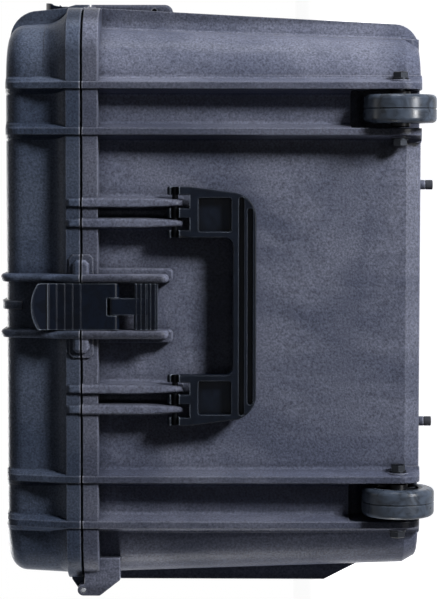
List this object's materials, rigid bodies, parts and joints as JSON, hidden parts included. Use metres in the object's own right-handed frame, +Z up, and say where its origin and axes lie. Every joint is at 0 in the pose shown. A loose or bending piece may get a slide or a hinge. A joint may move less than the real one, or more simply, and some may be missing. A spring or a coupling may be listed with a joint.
{
  "type": "wheeled hard transport case",
  "caption": "Deep moulded transport case with a hinged lid, draw latches, fold-down handles, recessed wheels, feet and a sealed flange.",
  "frame": {"origin": "on the floor, in the middle of the space that the whole case takes up", "axes": "+Z up with the lid on top, +X towards the long front side with two latches, -X the hinge side, -Y the end with the wheels"},
  "size_m": [0.6176, 0.794, 0.4435],
  "materials": {
    "base_plastic": "moulded, fine pebble grain",
    "lid_plastic": "moulded, fine pebble grain",
    "latch_plastic": "moulded, satin gloss",
    "handle_plastic": "moulded, satin",
    "pin_steel": "drawn bar",
    "dark_steel": "blackened",
    "tyre": "matt",
    "hub_plastic": "moulded",
    "seal_rubber": "matt"
  },
  "bodies": {
    "base": {"base_shell": "base_plastic", "near_link_pin": "pin_steel", "far_link_pin": "pin_steel", "front_left_link_pin": "pin_steel", "front_right_link_pin": "pin_steel", "near_handle_pin_right": "pin_steel", "near_handle_pin_left": "pin_steel", "far_handle_pin_right": "pin_steel", "far_handle_pin_left": "pin_steel", "front_handle_pin_right": "pin_steel", "front_handle_pin_left": "pin_steel", "hinge_pin_near": "pin_steel", "hinge_pin_middle": "pin_steel", "hinge_pin_far": "pin_steel", "left_axle_bolt": "dark_steel", "left_axle_nut": "dark_steel", "right_axle_bolt": "dark_steel", "right_axle_nut": "dark_steel", "near_left_foot_tip": "seal_rubber", "near_right_foot_tip": "seal_rubber", "far_left_foot_tip": "seal_rubber", "far_right_foot_tip": "seal_rubber"},
    "lid": {"lid_shell": "lid_plastic", "lid_seal": "seal_rubber"},
    "near_link": {"near_latch_link": "latch_plastic", "near_lever_pin": "pin_steel"},
    "near_lever": {"near_latch_lever": "latch_plastic"},
    "far_link": {"far_latch_link": "latch_plastic", "far_lever_pin": "pin_steel"},
    "far_lever": {"far_latch_lever": "latch_plastic"},
    "front_left_link": {"front_left_latch_link": "latch_plastic", "front_left_lever_pin": "pin_steel"},
    "front_left_lever": {"front_left_latch_lever": "latch_plastic"},
    "front_right_link": {"front_right_latch_link": "latch_plastic", "front_right_lever_pin": "pin_steel"},
    "front_right_lever": {"front_right_latch_lever": "latch_plastic"},
    "near_handle": {"near_handle": "handle_plastic"},
    "far_handle": {"far_handle": "handle_plastic"},
    "front_handle": {"front_handle": "handle_plastic"},
    "left_wheel": {"left_tyre": "tyre", "left_hub": "hub_plastic"},
    "right_wheel": {"right_tyre": "tyre", "right_hub": "hub_plastic"}
  },
  "joints": [
    {"name": "lid_hinge", "type": "hinge", "parent": "base", "child": "lid", "pos_m": [-0.30275, 0.004, 0.36], "axis": [0, -1, 0], "range_deg": [0, 95]},
    {"name": "near_link_pivot", "type": "hinge", "parent": "base", "child": "near_link", "pos_m": [-0.00825, -0.379, 0.2915], "axis": [1, 0, 0], "range_deg": [0, 20]},
    {"name": "near_lever_pivot", "type": "hinge", "parent": "near_link", "child": "near_lever", "pos_m": [-0.00825, -0.379, 0.3268], "axis": [1, 0, 0], "range_deg": [0, 90]},
    {"name": "far_link_pivot", "type": "hinge", "parent": "base", "child": "far_link", "pos_m": [-0.00825, 0.387, 0.2915], "axis": [-1, 0, 0], "range_deg": [0, 20]},
    {"name": "far_lever_pivot", "type": "hinge", "parent": "far_link", "child": "far_lever", "pos_m": [-0.00825, 0.387, 0.3268], "axis": [-1, 0, 0], "range_deg": [0, 90]},
    {"name": "front_left_link_pivot", "type": "hinge", "parent": "base", "child": "front_left_link", "pos_m": [0.29875, -0.201, 0.2915], "axis": [0, 1, 0], "range_deg": [0, 20]},
    {"name": "front_left_lever_pivot", "type": "hinge", "parent": "front_left_link", "child": "front_left_lever", "pos_m": [0.29875, -0.201, 0.3268], "axis": [0, 1, 0], "range_deg": [0, 90]},
    {"name": "front_right_link_pivot", "type": "hinge", "parent": "base", "child": "front_right_link", "pos_m": [0.29875, 0.209, 0.2915], "axis": [0, 1, 0], "range_deg": [0, 20]},
    {"name": "front_right_lever_pivot", "type": "hinge", "parent": "front_right_link", "child": "front_right_lever", "pos_m": [0.29875, 0.209, 0.3268], "axis": [0, 1, 0], "range_deg": [0, 90]},
    {"name": "near_handle_pivot", "type": "hinge", "parent": "base", "child": "near_handle", "pos_m": [-0.00825, -0.372, 0.265], "axis": [-1, 0, 0], "range_deg": [0, 90]},
    {"name": "far_handle_pivot", "type": "hinge", "parent": "base", "child": "far_handle", "pos_m": [-0.00825, 0.38, 0.265], "axis": [1, 0, 0], "range_deg": [0, 90]},
    {"name": "front_handle_pivot", "type": "hinge", "parent": "base", "child": "front_handle", "pos_m": [0.29175, 0.004, 0.265], "axis": [0, -1, 0], "range_deg": [0, 90]},
    {"name": "left_wheel_spin", "type": "hinge", "parent": "base", "child": "left_wheel", "pos_m": [-0.20845, -0.36, 0.037], "axis": [1, 0, 0], "continuous": true},
    {"name": "right_wheel_spin", "type": "hinge", "parent": "base", "child": "right_wheel", "pos_m": [0.19195, -0.36, 0.037], "axis": [1, 0, 0], "continuous": true}
  ]
}
